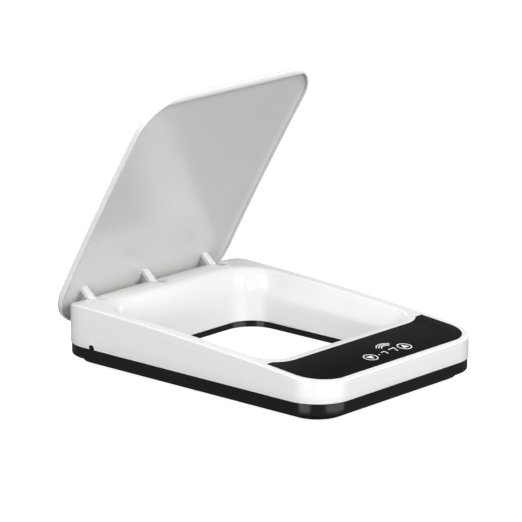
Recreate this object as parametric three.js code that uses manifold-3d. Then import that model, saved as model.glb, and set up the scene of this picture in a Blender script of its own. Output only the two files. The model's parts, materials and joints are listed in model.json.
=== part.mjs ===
// Automatic pet feeder: a low tray frame with a through opening for a bowl, a touch panel at the
// front and a motor-driven lid hinged at the rear. Units are millimetres, +Z is up, the touch panel
// faces -Y, the hinge is at +Y. Everything is laid out about the centre of the tray on the ground;
// the finished group is shifted so that its origin is the centre of the bounding box on the ground.
import * as THREE from "three";
import { mergeVertices } from "three/addons/utils/BufferGeometryUtils.js";
import Module from "manifold-3d";

const wasm = await Module();
wasm.setup();

// ---------- driving dimensions ----------
const BODY_WIDTH = 220;
const BODY_DEPTH = 312.4;
const FRONT_RADIUS = 35;
const REAR_RADIUS = 32;
const HALF_WIDTH = BODY_WIDTH / 2;
const FRONT_Y = -BODY_DEPTH / 2;
const REAR_Y = BODY_DEPTH / 2;
const FRONT_HEIGHT = 36.7; // top surface at the front edge
const RISE_LINEAR = 32.8; // rise of the top surface over the full depth
const RISE_QUADRATIC = -13.5; // convexity of the top surface
const REAR_ROLL_START = 124; // the top starts to roll down behind this line
const REAR_ROLL = 0.0077; // roll-down per mm squared
const REAR_EDGE_START = 152.2; // a tighter round finishes the rear edge
const REAR_EDGE = 0.17;
const WALL = 2.4;
const GAP = 0.3;
const SEAM_Z = 17.7;

const PAD_DROP = 0.8; // how far the rubber pads stand below the base
const LEDGE_Z = 6.9; // underside of the skirt, top of the plinth
const FLOOR_TOP = PAD_DROP + WALL;
const PLINTH_INSET = 11;
const SKIRT_INSET = 0.8;

const OPENING = { half: 99.5, front: -90, rear: 119, rFront: 24, rRear: 34 };
const OPENING_BOTTOM = { half: 89.7, front: -84, rear: 103.6, rFront: 22, rRear: 26 };
const LIP = 6.4; // width of the raised lip between opening and panel
const PANEL_INSET = 5.7;
const PANEL_THICK = 2;
const PANEL_TIP_Y = -89;
const WINDOW_HALF = 70; // half width of the window under the panel, above the control board

const LID = { half: 109.5, front: -96, rear: 165, rFront: 38, rRear: 43 };
const LID_THICK = 6.2;
const LID_WALL = 2;
const LID_SKIN = 1.6;
const LID_FRONT_FLANGE = 6.6;
const LINER_RECESS = 3;
const LINER_THICK = 1.3;
const LID_OPEN_ANGLE = THREE.MathUtils.degToRad(62.65);
const HINGE = { y: 140.3, z: 39.9 };

const SHAFT_RADIUS = 2.5;
const RUNNING_CLEARANCE = 0.08;
const FIT_CLEARANCE = 0.06;
const SHAFT_HALF = 87;
const ARM_X = { left: -79.3, middle: 0, right: 79.3 };
const ARM_WIDTH = 7.2;
const POST_X = { left: -70, middle: -14, right: 70 };
const POST_WIDTH = 6;
const BUSH_OUTER = 4;

const GEAR_MODULE = 0.8;
const LID_GEAR_TEETH = 20;
const PINION_TEETH = 10;
const GEAR_X = 52;
const GEAR_WIDTH = 6;
const PINION = { y: 136.3, z: 28.55 };

const SCREWS = [
  { name: "front_left", x: -88, y: -128 },
  { name: "front_right", x: 88, y: -128 },
  { name: "rear_left", x: -90, y: 120 },
  { name: "rear_right", x: 90, y: 120 },
  { name: "mid_left", x: -36, y: 119 },
  { name: "mid_right", x: 36, y: 119 },
];
const PADS = [
  { name: "front_left", x: -70, y: -133 },
  { name: "front_right", x: 70, y: -133 },
  { name: "rear_left", x: -58, y: 133 },
  { name: "rear_right", x: 58, y: 133 },
];
const SOCKET = { y: 112.4, width: 6.8, height: 4.4 };

// ---------- materials ----------
const plastic = (color, roughness) => new THREE.MeshStandardMaterial({ color, roughness });
const metal = (color, roughness) =>
  new THREE.MeshStandardMaterial({ color, roughness, metalness: 1 });
const WHITE = plastic(0xf1f1ef, 0.3);
const LINER_WHITE = plastic(0xe6e4e1, 0.45);
const BLACK = plastic(0x1c1d1f, 0.45);
const PANEL_BLACK = plastic(0x0b0c0e, 0.12);
const RUBBER = plastic(0x2b2b2c, 0.9);
const BOARD_GREEN = plastic(0x1d5b35, 0.6);
const CHIP_BLACK = plastic(0x17181a, 0.5);
const CELL_BLUE = plastic(0x2f6fa3, 0.4);
const GREY = plastic(0x8b8e92, 0.5);
const CLEAR = plastic(0xe8edf0, 0.2);
const RED = plastic(0xa32a22, 0.5);
const NATURAL = plastic(0xdcd8cc, 0.5);
const STEEL = metal(0xb9bcc0, 0.35);
const BRASS = metal(0xb89a52, 0.35);

// ---------- heights of the curved surfaces ----------
function crownHeight(y) {
  const t = (y - FRONT_Y) / BODY_DEPTH;
  return FRONT_HEIGHT + RISE_LINEAR * t + RISE_QUADRATIC * t * t;
}

function deckHeight(y) {
  const reached = Math.min(y, REAR_Y + 1);
  const roll = Math.max(0, reached - REAR_ROLL_START);
  const edge = Math.max(0, reached - REAR_EDGE_START);
  return crownHeight(y) - REAR_ROLL * roll * roll - REAR_EDGE * edge * edge;
}

// ---------- solid helpers ----------
function toSolid(geometry) {
  const bare = geometry.clone();
  bare.deleteAttribute("normal");
  bare.deleteAttribute("uv");
  const merged = mergeVertices(bare, 1e-4);
  return new wasm.Manifold(
    new wasm.Mesh({
      numProp: 3,
      vertProperties: new Float32Array(merged.attributes.position.array),
      triVerts: new Uint32Array(merged.index.array),
    })
  );
}

function toGeometry(solid) {
  const mesh = solid.getMesh();
  const geometry = new THREE.BufferGeometry();
  geometry.setAttribute("position", new THREE.BufferAttribute(mesh.vertProperties, 3));
  geometry.setIndex(new THREE.BufferAttribute(mesh.triVerts, 1));
  const flat = geometry.toNonIndexed();
  flat.computeVertexNormals();
  return flat;
}

const unite = (...solids) => solids.reduce((sum, solid) => sum.add(solid));
const cut = (solid, ...tools) => tools.reduce((rest, tool) => rest.subtract(tool), solid);

function box(x0, x1, y0, y1, z0, z1) {
  const geometry = new THREE.BoxGeometry(x1 - x0, y1 - y0, z1 - z0);
  geometry.translate((x0 + x1) / 2, (y0 + y1) / 2, (z0 + z1) / 2);
  return toSolid(geometry);
}

function cylinderX(radius, x0, x1, y, z, segments = 24) {
  const geometry = new THREE.CylinderGeometry(radius, radius, x1 - x0, segments);
  geometry.rotateZ(Math.PI / 2);
  geometry.translate((x0 + x1) / 2, y, z);
  return toSolid(geometry);
}

function cylinderZ(radius, z0, z1, x, y, segments = 20) {
  const geometry = new THREE.CylinderGeometry(radius, radius, z1 - z0, segments);
  geometry.rotateX(Math.PI / 2);
  geometry.translate(x, y, (z0 + z1) / 2);
  return toSolid(geometry);
}

// rounded rectangle with its own front and rear corner radius, grown by `grow`
function outlinePoints(rect, grow = 0, cornerSteps = 8) {
  const half = rect.half + grow;
  const front = rect.front - grow;
  const rear = rect.rear + grow;
  const rFront = Math.max(rect.rFront + grow, 0.5);
  const rRear = Math.max(rect.rRear + grow, 0.5);
  const corners = [
    [half - rFront, front + rFront, rFront, -90],
    [half - rRear, rear - rRear, rRear, 0],
    [-half + rRear, rear - rRear, rRear, 90],
    [-half + rFront, front + rFront, rFront, 180],
  ];
  const points = [];
  for (const [cx, cy, radius, start] of corners) {
    for (let i = 0; i <= cornerSteps; i += 1) {
      const angle = THREE.MathUtils.degToRad(start + (90 * i) / cornerSteps);
      points.push(new THREE.Vector2(cx + radius * Math.cos(angle), cy + radius * Math.sin(angle)));
    }
  }
  return points;
}

function slab(points, z0, z1) {
  const shape = new THREE.Shape(points);
  const geometry = new THREE.ExtrudeGeometry(shape, { depth: z1 - z0, bevelEnabled: false });
  geometry.translate(0, 0, z0);
  return toSolid(geometry);
}

// side-view polygon of [y, z] pairs, extruded across the width
function sidePrism(pairs, x0, x1) {
  const shape = new THREE.Shape(pairs.map(([y, z]) => new THREE.Vector2(y, z)));
  const geometry = new THREE.ExtrudeGeometry(shape, { depth: x1 - x0, bevelEnabled: false });
  const turn = new THREE.Matrix4().makeBasis(
    new THREE.Vector3(0, 1, 0),
    new THREE.Vector3(0, 0, 1),
    new THREE.Vector3(1, 0, 0)
  );
  geometry.applyMatrix4(turn);
  geometry.translate(x0, 0, 0);
  return toSolid(geometry);
}

// everything below a curved surface that is raised by `offset`
function below(height, offset) {
  const reach = 180;
  const marks = [180, 165, 158, 156.2, 154.2, 152.2, 146, 140, 132, 124];
  for (let y = 108; y >= -reach; y -= 16) {
    marks.push(y);
  }
  const pairs = [[-reach, -40], [reach, -40]];
  marks.forEach((y) => pairs.push([y, height(y) + offset]));
  return sidePrism(pairs, -reach, reach);
}

const layer = (height, from, to) => below(height, to).subtract(below(height, from));

// closed solid through a stack of convex rings, capped by fans
function loft(rings) {
  const count = rings[0].length;
  const positions = rings.flat().flatMap((point) => [point.x, point.y, point.z]);
  const indices = [];
  for (let r = 0; r + 1 < rings.length; r += 1) {
    for (let i = 0; i < count; i += 1) {
      const a = r * count + i;
      const b = r * count + ((i + 1) % count);
      indices.push(a, b, b + count, a, b + count, a + count);
    }
  }
  const caps = [rings[0], rings[rings.length - 1]];
  caps.forEach((ring, end) => {
    const centre = ring.reduce((sum, point) => sum.add(point), new THREE.Vector3());
    centre.divideScalar(count);
    const hub = positions.length / 3;
    positions.push(centre.x, centre.y, centre.z);
    const base = end === 0 ? 0 : (rings.length - 1) * count;
    for (let i = 0; i < count; i += 1) {
      const a = base + i;
      const b = base + ((i + 1) % count);
      indices.push(hub, ...(end === 0 ? [b, a] : [a, b]));
    }
  });
  const geometry = new THREE.BufferGeometry();
  geometry.setAttribute("position", new THREE.Float32BufferAttribute(positions, 3));
  geometry.setIndex(indices);
  geometry.setAttribute("normal", new THREE.Float32BufferAttribute(positions.length, 3));
  geometry.setAttribute("uv", new THREE.Float32BufferAttribute((positions.length / 3) * 2, 2));
  return toSolid(geometry);
}

// the bowl well: soft shoulder under the deck, then a steeper wall down to the base
function wellSolid(grow, drop, bottomZ) {
  const stations = [
    [1, 1],
    [0.93, 0.5],
    [0.82, 0.33],
    [0.6, 0.15],
    [0.28, 0.035],
    [0, 0],
  ];
  const top = outlinePoints(OPENING, grow, 6);
  const bottom = outlinePoints(OPENING_BOTTOM, grow, 6);
  const rings = stations.map(([inward, down]) =>
    top.map((point, i) => {
      const x = point.x + (bottom[i].x - point.x) * inward;
      const y = point.y + (bottom[i].y - point.y) * inward;
      const deck = deckHeight(point.y) - drop;
      return new THREE.Vector3(x, y, deck + (bottomZ - deck) * down);
    })
  );
  const above = top.map((point) => new THREE.Vector3(point.x, point.y, deckHeight(REAR_ROLL_START) + 12));
  return loft([...rings, above]);
}

const BODY = {
  half: HALF_WIDTH,
  front: FRONT_Y,
  rear: REAR_Y,
  rFront: FRONT_RADIUS,
  rRear: REAR_RADIUS,
};
const bodySlab = (grow, z0, z1) => slab(outlinePoints(BODY, grow), z0, z1);

// ---------- touch panel outline ----------
function panelSolid(clearance) {
  const outer = slab(outlinePoints(BODY, clearance - PANEL_INSET), 0, 80);
  const lipEdge = slab(outlinePoints(OPENING, LIP - clearance), -1, 81);
  const behind = box(-HALF_WIDTH, HALF_WIDTH, PANEL_TIP_Y + clearance, REAR_Y, -1, 81);
  return cut(outer, lipEdge, behind);
}

// ---------- tray ----------
function topCasing() {
  const outer = bodySlab(0, SEAM_Z, 80).intersect(below(deckHeight, 0));
  const cavity = bodySlab(-WALL, SEAM_Z - 1, 80).intersect(below(deckHeight, -WALL));
  const well = wellSolid(2.2, 2.2, LEDGE_Z).intersect(below(deckHeight, 0));
  const shelf = panelSolid(2).intersect(layer(deckHeight, -PANEL_THICK - 4, 0));
  const trim = bodySlab(0, -1, 80);
  let casing = unite(cut(outer, cavity), well, shelf).intersect(trim);

  const bosses = SCREWS.map(({ x, y }) =>
    cylinderZ(3.4, 6.7, 60, x, y, 12).intersect(below(deckHeight, -1))
  );
  casing = unite(casing, ...bosses);
  casing = cut(casing, wellSolid(0, 0, LEDGE_Z - 0.01), bodySlab(20, -5, LEDGE_Z - 0.2));

  const pocket = panelSolid(GAP).intersect(layer(deckHeight, -PANEL_THICK - GAP, 10));
  const boardWindow = panelSolid(-6).intersect(box(-WINDOW_HALF, WINDOW_HALF, -200, 0, 10, 80));
  const pilots = SCREWS.map(({ x, y }) => cylinderZ(1.5, 6, 20, x, y, 10));
  const slots = Object.values(ARM_X).map((x) =>
    box(x - ARM_WIDTH / 2 - 0.8, x + ARM_WIDTH / 2 + 0.8, 124.6, 147.4, 46, 60)
  );
  const notch = box(
    -HALF_WIDTH - 1,
    -HALF_WIDTH + WALL + 1,
    SOCKET.y - SOCKET.width / 2,
    SOCKET.y + SOCKET.width / 2,
    SEAM_Z - 1,
    SEAM_Z + SOCKET.height
  );
  return cut(casing, pocket, boardWindow, notch, ...pilots, ...slots);
}

function baseTray() {
  const skirt = cut(bodySlab(-SKIRT_INSET, LEDGE_Z, SEAM_Z - GAP), bodySlab(-SKIRT_INSET - WALL, 9.3, 30));
  const plinth = bodySlab(-PLINTH_INSET, PAD_DROP, LEDGE_Z + WALL);
  const hollow = bodySlab(-PLINTH_INSET - WALL, FLOOR_TOP, 30);
  const wellWall = slab(outlinePoints(OPENING_BOTTOM, 3.4), PAD_DROP, LEDGE_Z - GAP);
  const hole = slab(outlinePoints(OPENING_BOTTOM, 1), -1, 30);
  const towers = SCREWS.map(({ x, y }) => cylinderZ(4.8, PAD_DROP, 6.4, x, y, 16));
  let tray = unite(cut(unite(skirt, plinth), hollow), wellWall, ...towers);
  const heads = SCREWS.map(({ x, y }) => cylinderZ(3.1, -1, 4, x, y, 16));
  const shanks = SCREWS.map(({ x, y }) => cylinderZ(1.8, -1, 8, x, y, 12));
  const pads = PADS.map(({ x, y }) => cylinderZ(7.3, -1, PAD_DROP + 1, x, y, 20));
  return cut(tray, hole, ...heads, ...shanks, ...pads);
}

function caseScrew({ x, y }) {
  const head = cylinderZ(2.7, 2.1, 3.9, x, y, 14);
  const recess = cylinderZ(1, 1, 2.9, x, y, 6);
  const shank = cylinderZ(1.3, 3.8, 17, x, y, 10);
  return cut(unite(head, shank), recess);
}

// ---------- lid, laid out closed and then swung open ----------
// room inside the rim, with a straight flange left across the front end
function lidRoom(clearance) {
  const walls = slab(outlinePoints(LID, -LID_WALL - clearance), -1, 91);
  const flangeEnd = LID.front + LID_FRONT_FLANGE + clearance;
  const flange = box(-HALF_WIDTH, HALF_WIDTH, LID.front - 1, flangeEnd, -2, 92);
  return walls.subtract(flange);
}

function lidCover() {
  const plate = slab(outlinePoints(LID), 0, 90).intersect(layer(crownHeight, GAP, GAP + LID_THICK));
  return plate.subtract(lidRoom(0).intersect(below(crownHeight, GAP + LID_THICK - LID_SKIN)));
}

function lidLiner() {
  const from = GAP + LINER_RECESS;
  return lidRoom(GAP).intersect(layer(crownHeight, from, from + LINER_THICK));
}

// side view of an arm about the hinge axis: a leaning leg that runs back to a round hub
function hingeArm(x) {
  const top = crownHeight(HINGE.y - 14) + LINER_RECESS - HINGE.z;
  const leg = [
    [-15.8, top],
    [-12.3, 3],
    [-10.9, -3.9],
    [-2, -5],
    [-2, 4.6],
    [-7.9, 4.4],
    [-11.4, top],
  ];
  const pairs = leg.map(([y, z]) => [y + HINGE.y, z + HINGE.z]);
  const x0 = x - ARM_WIDTH / 2;
  const x1 = x + ARM_WIDTH / 2;
  const hub = cylinderX(5.4, x0, x1, HINGE.y, HINGE.z, 24);
  const bore = cylinderX(SHAFT_RADIUS + FIT_CLEARANCE, x0 - 1, x1 + 1, HINGE.y, HINGE.z, 24);
  return cut(unite(sidePrism(pairs, x0, x1), hub), bore);
}

function gearSolid(teeth, x0, x1, y, z, phase, bore) {
  const pitch = (GEAR_MODULE * teeth) / 2;
  const outer = pitch + GEAR_MODULE * 0.85;
  const root = pitch - GEAR_MODULE * 1.15;
  const pairs = [];
  for (let i = 0; i < teeth; i += 1) {
    const centre = phase + (i * 2 * Math.PI) / teeth;
    const span = (2 * Math.PI) / teeth;
    const marks = [
      [-0.3, root],
      [-0.11, outer],
      [0.11, outer],
      [0.3, root],
    ];
    for (const [share, radius] of marks) {
      const angle = centre + share * span;
      pairs.push([y + radius * Math.cos(angle), z + radius * Math.sin(angle)]);
    }
  }
  const gear = sidePrism(pairs, x0, x1);
  return bore > 0 ? gear.subtract(cylinderX(bore, x0 - 1, x1 + 1, y, z, 20)) : gear;
}

const MESH_ANGLE = Math.atan2(PINION.z - HINGE.z, PINION.y - HINGE.y);

function lidGear() {
  const phase = MESH_ANGLE + LID_OPEN_ANGLE;
  return gearSolid(
    LID_GEAR_TEETH, GEAR_X, GEAR_X + GEAR_WIDTH, HINGE.y, HINGE.z, phase, SHAFT_RADIUS + FIT_CLEARANCE
  );
}

function motorPinion() {
  const phase = MESH_ANGLE + Math.PI + Math.PI / PINION_TEETH;
  const teeth = gearSolid(
    PINION_TEETH, GEAR_X, GEAR_X + GEAR_WIDTH, PINION.y, PINION.z, phase, 0
  );
  return unite(teeth, cylinderX(1.5, GEAR_X - 7, GEAR_X + 1, PINION.y, PINION.z, 16));
}

function sensorFlag() {
  const x0 = -45;
  const x1 = -43.4;
  const blade = sidePrism(
    [
      [HINGE.y - 3, HINGE.z + 2.5],
      [HINGE.y - 9, HINGE.z + 2.5],
      [HINGE.y - 9, HINGE.z - 2.5],
      [HINGE.y - 3, HINGE.z - 2.5],
    ],
    x0,
    x1
  );
  const collar = cylinderX(4.6, x0 - 0.4, x1 + 0.4, HINGE.y, HINGE.z, 20);
  const bore = cylinderX(SHAFT_RADIUS + FIT_CLEARANCE, x0 - 4, x1 + 1, HINGE.y, HINGE.z, 20);
  return cut(unite(blade, collar), bore);
}

function shaftClip(x) {
  const ring = cylinderX(4.2, x, x + 0.9, HINGE.y, HINGE.z, 20);
  const groove = cylinderX(SHAFT_RADIUS + FIT_CLEARANCE, x - 1, x + 2, HINGE.y, HINGE.z, 20);
  return cut(ring, groove);
}

// ---------- rear mechanism ----------
function hingePost(x) {
  const side = [
    [122, FLOOR_TOP + GAP],
    [142, FLOOR_TOP + GAP],
    [142, 8],
    [147, 30],
    [147, 40],
    [133.6, 40],
    [129, 20],
    [122, 8],
  ];
  const x0 = x - POST_WIDTH / 2;
  const x1 = x + POST_WIDTH / 2;
  const hub = cylinderX(6.6, x0, x1, HINGE.y, HINGE.z, 24);
  const bore = cylinderX(BUSH_OUTER + FIT_CLEARANCE, x0 - 1, x1 + 1, HINGE.y, HINGE.z, 24);
  return cut(unite(sidePrism(side, x0, x1), hub), bore);
}

function shaftBush(x) {
  const x0 = x - POST_WIDTH / 2 - 0.4;
  const x1 = x + POST_WIDTH / 2 + 0.4;
  const body = cylinderX(BUSH_OUTER, x0, x1, HINGE.y, HINGE.z, 24);
  return body.subtract(cylinderX(SHAFT_RADIUS + RUNNING_CLEARANCE, x0 - 1, x1 + 1, HINGE.y, HINGE.z, 24));
}

const GEARBOX = { x0: 29, x1: 50, y0: 127.5, y1: 146, z0: 18.6, z1: 36.6 };
const MOTOR_RADIUS = 8;

function gearboxCase() {
  const block = box(GEARBOX.x0, GEARBOX.x1, GEARBOX.y0, GEARBOX.y1, GEARBOX.z0, GEARBOX.z1);
  const nose = cylinderX(3.4, GEARBOX.x1 - 1, GEARBOX.x1 + 1.4, PINION.y, PINION.z, 20);
  const bore = cylinderX(1.8, GEARBOX.x1 - 6, GEARBOX.x1 + 3, PINION.y, PINION.z, 16);
  return cut(unite(block, nose), bore);
}

function motorCan() {
  const x1 = GEARBOX.x0 - GAP;
  const can = cylinderX(MOTOR_RADIUS, x1 - 20, x1, PINION.y, PINION.z, 28);
  const boss = cylinderX(3, x1 - 22, x1 - 19, PINION.y, PINION.z, 20);
  return unite(can, boss);
}

function motorCradle() {
  const plate = box(9, 50, 124, 142, FLOOR_TOP + GAP, 6);
  const saddle = box(11, 26, 128, 142, 5, 22).subtract(
    cylinderX(MOTOR_RADIUS + GAP, 8, 30, PINION.y, PINION.z, 28)
  );
  const table = box(31, 48, 129, 142, 5, GEARBOX.z0 - GAP);
  return unite(plate, saddle, table);
}

function slotSensor() {
  const body = box(-47.7, -40.7, 124.6, 134.6, 34, 44.4);
  const slit = box(-46.1, -42.3, 127, 140, 30, 50);
  const leg = box(-46, -42, 124.6, 126.6, FLOOR_TOP + GAP, 35);
  return unite(cut(body, slit), leg);
}

// ---------- front electronics ----------
const BOARD_SLOPE = Math.atan(0.0957);
const BOARD_Y = -122;
const BOARD_Z = crownHeight(BOARD_Y) - PANEL_THICK - GAP - 7.6;

// piece laid out flat on the control board and then tilted with it
function onBoard(solid) {
  return solid
    .rotate([THREE.MathUtils.radToDeg(BOARD_SLOPE), 0, 0])
    .translate([0, BOARD_Y, BOARD_Z]);
}

const flatBox = (x0, x1, y0, y1, z0, z1) => onBoard(box(x0, x1, y0, y1, z0, z1));
const flatDisc = (radius, z0, z1, x, y) => onBoard(cylinderZ(radius, z0, z1, x, y, 20));

const CELL = { y: -132, z: 13.2 };

function batteryCell(x0) {
  const can = cylinderX(9, x0, x0 + 64, CELL.y, CELL.z, 28);
  return unite(can, cylinderX(3, x0 + 63, x0 + 65, CELL.y, CELL.z, 16));
}

function batteryCradle() {
  const front = CELL.y - 7;
  const rear = CELL.y + 7;
  const block = box(-68.5, 68.5, front, rear, FLOOR_TOP + GAP, 9);
  const groove = cylinderX(9.3, -69, 69, CELL.y, CELL.z, 28);
  const leftEnd = box(-68.5, -67.2, front, rear, 3.6, 18);
  const rightEnd = box(67.2, 68.5, front, rear, 3.6, 18);
  return unite(cut(block, groove), leftEnd, rightEnd);
}

function wire(points, radius) {
  const path = new THREE.CatmullRomCurve3(points.map((p) => new THREE.Vector3(...p)));
  const ring = new THREE.Shape();
  for (let i = 0; i < 6; i += 1) {
    const angle = (i * Math.PI) / 3;
    const x = radius * Math.cos(angle);
    const y = radius * Math.sin(angle);
    if (i === 0) {
      ring.moveTo(x, y);
    } else {
      ring.lineTo(x, y);
    }
  }
  const geometry = new THREE.ExtrudeGeometry(ring, { steps: 28, extrudePath: path });
  return toSolid(geometry);
}

function chargeSocket() {
  const x0 = -HALF_WIDTH + WALL + 0.5;
  const shell = box(x0, x0 + 9, SOCKET.y - 2.9, SOCKET.y + 2.9, SEAM_Z + 0.5, SEAM_Z + 3.9);
  return shell.subtract(box(x0 - 1, x0 + 7, SOCKET.y - 2.3, SOCKET.y + 2.3, SEAM_Z + 1, SEAM_Z + 3.4));
}

// routes of the two leads from the control board round the well
const LEAD_RADIUS = 1;
const BATTERY_LEAD_ROUTE = [
  [-60, -120, 24],
  [-80, -110, 12],
  [-99, -80, 11.5],
  [-100, 0, 11.5],
  [-100, 80, 11.5],
  [-100, 103, 14]
];
const MOTOR_LEAD_ROUTE = [
  [60, -118, 24],
  [82, -106, 12],
  [99, -80, 11.5],
  [100, 0, 11.5],
  [99, 80, 12],
  [82, 108, 14],
  [30, 113, 14],
  [4.5, 132, 24]
];

// ---------- assembly ----------
const assembly = new THREE.Group();
assembly.name = "automatic_pet_feeder";
const swingOpen = new THREE.Matrix4()
  .makeTranslation(0, HINGE.y, HINGE.z)
  .multiply(new THREE.Matrix4().makeRotationX(-LID_OPEN_ANGLE))
  .multiply(new THREE.Matrix4().makeTranslation(0, -HINGE.y, -HINGE.z));

function add(name, solid, material, onLid = false) {
  const geometry = toGeometry(solid);
  if (onLid) {
    geometry.applyMatrix4(swingOpen);
  }
  const mesh = new THREE.Mesh(geometry, material.clone());
  mesh.name = name;
  assembly.add(mesh);
}

add("top_casing", topCasing(), WHITE);
add("base_tray", baseTray(), BLACK);
add("touch_panel", panelSolid(0).intersect(layer(deckHeight, -PANEL_THICK, -0.1)), PANEL_BLACK);
SCREWS.forEach((screw) => add(`case_screw_${screw.name}`, caseScrew(screw), STEEL));
PADS.forEach(({ name, x, y }) => add(`foot_pad_${name}`, cylinderZ(7, 0, PAD_DROP + 0.8, x, y), RUBBER));

add("control_board", flatBox(-62, 62, -17, 17, -1.6, 0), BOARD_GREEN);
add("controller_chip", flatBox(-36, -26, 2, 12, 0.2, 1.6), CHIP_BLACK);
add("touch_foam_left", flatDisc(4.5, 0.2, 7.3, -19, -11.4), GREY);
add("touch_foam_right", flatDisc(4.5, 0.2, 7.3, 26.4, -11.4), GREY);
add("light_guide", flatBox(-10, 18, -15, -3, 1.2, 7.2), CLEAR);
add("presence_sensor", flatBox(0, 14, 1, 9, 0.2, 6.4), CHIP_BLACK);
add("buzzer", flatDisc(6, 0.2, 5.6, 46, 4), CHIP_BLACK);
add("battery_cradle", batteryCradle(), BLACK);
add("battery_cell_left", batteryCell(-66.4), CELL_BLUE);
add("battery_cell_right", batteryCell(0.9), CELL_BLUE);
add("charge_board", box(-106.8, -95.4, 106, 119, 15.9, SEAM_Z + 0.2), BOARD_GREEN);
add("charge_socket", chargeSocket(), STEEL);

Object.entries(POST_X).forEach(([side, x]) => {
  add(`hinge_post_${side}`, hingePost(x), BLACK);
  add(`shaft_bush_${side}`, shaftBush(x), BRASS);
});
add("gearbox_case", gearboxCase(), NATURAL);
add("motor_can", motorCan(), STEEL);
add("motor_cradle", motorCradle(), BLACK);
add("motor_pinion", motorPinion(), NATURAL);
add("slot_sensor", slotSensor(), CHIP_BLACK);
add("battery_lead", wire(BATTERY_LEAD_ROUTE, LEAD_RADIUS), RED);
add("motor_lead", wire(MOTOR_LEAD_ROUTE, LEAD_RADIUS), GREY);

add("lid_cover", lidCover(), WHITE, true);
add("lid_liner", lidLiner(), LINER_WHITE, true);
Object.entries(ARM_X).forEach(([side, x]) => add(`hinge_arm_${side}`, hingeArm(x), WHITE, true));
add("hinge_shaft", cylinderX(SHAFT_RADIUS, -SHAFT_HALF, SHAFT_HALF, HINGE.y, HINGE.z, 24), STEEL, true);
add("lid_gear", lidGear(), NATURAL, true);
add("sensor_flag", sensorFlag(), BLACK, true);
add("shaft_clip_left", shaftClip(-SHAFT_HALF + 0.8), STEEL, true);
add("shaft_clip_right", shaftClip(SHAFT_HALF - 1.7), STEEL, true);

// put the origin at the centre of the bounding box, on the ground
const bounds = new THREE.Box3().setFromObject(assembly);
const shift = -(bounds.min.y + bounds.max.y) / 2;
assembly.children.forEach((mesh) => mesh.geometry.translate(0, shift, 0));

export default assembly;
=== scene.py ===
import json
import math

import bpy
import bmesh
import numpy as np
from mathutils import Matrix, Vector


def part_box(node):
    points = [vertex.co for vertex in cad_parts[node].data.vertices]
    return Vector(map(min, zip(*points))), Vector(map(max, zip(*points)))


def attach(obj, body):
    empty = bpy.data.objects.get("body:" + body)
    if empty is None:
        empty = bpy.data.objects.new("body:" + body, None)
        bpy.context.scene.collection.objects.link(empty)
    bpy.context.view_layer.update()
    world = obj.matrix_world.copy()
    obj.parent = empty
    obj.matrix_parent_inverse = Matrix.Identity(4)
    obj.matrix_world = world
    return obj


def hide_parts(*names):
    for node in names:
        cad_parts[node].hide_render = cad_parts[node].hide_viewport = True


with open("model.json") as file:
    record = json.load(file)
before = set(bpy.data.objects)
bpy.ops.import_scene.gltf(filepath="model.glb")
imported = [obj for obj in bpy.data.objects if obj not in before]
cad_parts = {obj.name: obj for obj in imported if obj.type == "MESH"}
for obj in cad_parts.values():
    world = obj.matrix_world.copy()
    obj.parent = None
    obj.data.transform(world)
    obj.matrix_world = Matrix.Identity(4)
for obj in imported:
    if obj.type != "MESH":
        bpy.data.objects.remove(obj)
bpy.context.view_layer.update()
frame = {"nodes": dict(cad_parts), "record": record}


scene = bpy.context.scene

# Shapes are given in mm: x across, y from the middle of the tray towards the hinge, z above the
# floor. TRAY_Y moves them into the shared frame.
MM = 0.001
casing_low, casing_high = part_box("top_casing")
TRAY_Y = (casing_low.y + casing_high.y) / 2 / MM


# ---------------------------------------------------------------- camera
VIEW_AZIMUTH = math.radians(-48.316)
VIEW_ELEVATION = math.radians(14.919)
CAMERA_PLACE = Vector((-2339.4, -2073.7 + TRAY_Y, 929.9))
LENS = 253.42
SENSOR = 36
CLIP_END = 600  # m, beyond the far edge of the floor


def towards(azimuth, elevation):
    """Unit vector from the object towards a place; azimuth 0 is straight in front of the panel."""
    return Vector((
        math.sin(azimuth) * math.cos(elevation),
        -math.cos(azimuth) * math.cos(elevation),
        math.sin(elevation),
    ))


def look_back(obj, outward):
    """Turns a camera or a light that stands in the given direction to look back at the object."""
    obj.rotation_mode = "QUATERNION"
    obj.rotation_quaternion = (-outward).to_track_quat("-Z", "Y")


camera_data = bpy.data.cameras.new("camera")
camera_data.lens = LENS
camera_data.sensor_width = SENSOR
camera_data.clip_end = CLIP_END
camera = bpy.data.objects.new("camera", camera_data)
scene.collection.objects.link(camera)
scene.camera = camera
camera.location = CAMERA_PLACE * MM
look_back(camera, towards(VIEW_AZIMUTH, VIEW_ELEVATION))
scene.view_settings.view_transform = "Standard"


# ---------------------------------------------------------------- driving dimensions
DEPTH = 312.4
FRONT_Y = -DEPTH / 2
REAR_Y = DEPTH / 2
SEAM_Z = 17.7  # joint between the white and the black shell
LEDGE_Z = 6.9  # foot of the well, level with the top of the plinth
TOP_ROUND = 1.4  # rounding between the side wall and the deck
ROLL_START = 124.0  # behind here the deck rolls down towards the rear
EDGE_START = 152.2  # and behind here it turns over more sharply

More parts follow.
